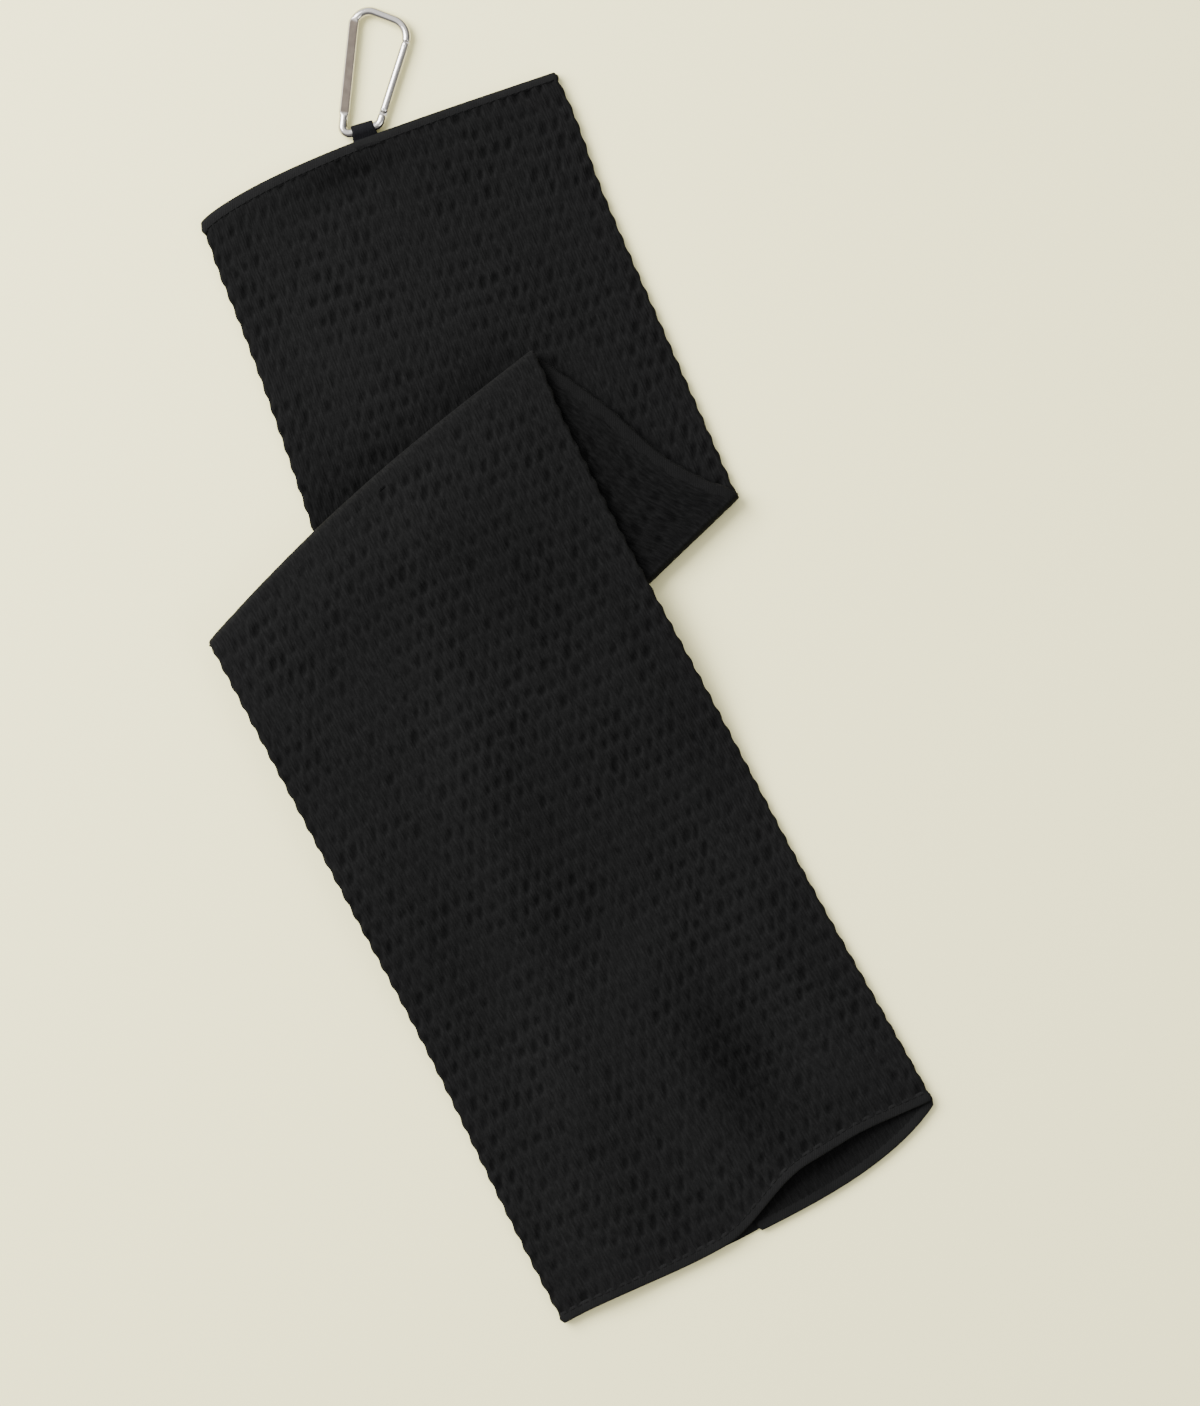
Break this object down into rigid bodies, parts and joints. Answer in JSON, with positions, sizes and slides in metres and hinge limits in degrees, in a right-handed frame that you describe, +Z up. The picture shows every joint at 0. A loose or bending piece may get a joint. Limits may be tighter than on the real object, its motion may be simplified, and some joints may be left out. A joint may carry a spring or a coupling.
{
  "type": "golf towel",
  "caption": "Black waffle microfibre golf towel, folded into a strip and laid in a zigzag, with a webbing loop and a spring-gate clip.",
  "frame": {"origin": "bottom centre of the overall box, on the surface that the towel lies on", "axes": "+Z up from that surface, +Y from the bottom hem towards the clip, +X to the right"},
  "size_m": [0.2792, 0.4986, 0.0143],
  "materials": {
    "waffle_cloth": "black waffle-weave microfibre",
    "hem": "turned and stitched black microfibre, flat weave",
    "thread": "black polyester sewing thread",
    "webbing": "black polypropylene webbing, blue-black",
    "clip_aluminium": "tumbled and polished",
    "pin_steel": "drawn wire"
  },
  "bodies": {
    "upper_leg": {"upper_front_panel": "waffle_cloth", "upper_inner_flap": "waffle_cloth", "upper_back_panel": "waffle_cloth", "upper_side_hem": "hem", "top_hem": "hem", "top_hem_thread": "thread", "webbing_tail": "webbing", "loop_bartack": "thread"},
    "middle_leg": {"middle_front_panel": "waffle_cloth", "middle_inner_flap": "waffle_cloth", "middle_back_panel": "waffle_cloth", "middle_side_hem": "hem"},
    "lower_leg": {"lower_front_panel": "waffle_cloth", "lower_inner_flap": "waffle_cloth", "lower_back_panel": "waffle_cloth", "lower_side_hem": "hem", "bottom_hem_front": "hem", "bottom_hem_inner": "hem", "bottom_hem_back": "hem", "bottom_hem_thread": "thread"},
    "loop": {"webbing_loop": "webbing"},
    "carabiner": {"carabiner_body": "clip_aluminium"},
    "gate": {"gate": "clip_aluminium", "gate_rivet": "pin_steel", "latch_pin": "pin_steel", "gate_spring": "pin_steel"},
    "plunger": {"gate_plunger": "pin_steel"}
  },
  "joints": [
    {"name": "upper_fold", "type": "hinge", "parent": "upper_leg", "child": "middle_leg", "pos_m": [0.00563, 0.0095, 0.0047], "axis": [0.723, 0.6909, 0], "range_deg": [0, 165]},
    {"name": "lower_fold", "type": "hinge", "parent": "middle_leg", "child": "lower_leg", "pos_m": [-0.07212, 0.05961, 0.0096], "axis": [-0.7593, -0.6508, 0], "range_deg": [0, 165]},
    {"name": "loop_flex", "type": "hinge", "parent": "upper_leg", "child": "loop", "pos_m": [-0.07679, 0.19907, 0.0035], "axis": [0.9583, 0.2857, 0], "range_deg": [0, 60]},
    {"name": "clip_swing", "type": "hinge", "parent": "loop", "child": "carabiner", "pos_m": [-0.07788, 0.20271, 0.0027], "axis": [0.9583, 0.2857, 0], "range_deg": [0, 110]},
    {"name": "gate_hinge", "type": "hinge", "parent": "carabiner", "child": "gate", "pos_m": [-0.06991, 0.21012, 0.0027], "axis": [0, 0, 1], "range_deg": [0, 35], "stiffness_Nm_per_rad": 0.05, "springref_deg": -22.92},
    {"name": "plunger_slide", "type": "slide", "parent": "gate", "child": "plunger", "axis": [0.3057, 0.9521, 0], "range_m": [0, 0.001], "deforming": ["gate_spring"]}
  ],
  "couplings": [
    {"joint": "plunger_slide", "follows": "gate_hinge", "m_per_rad": 0.0015}
  ]
}
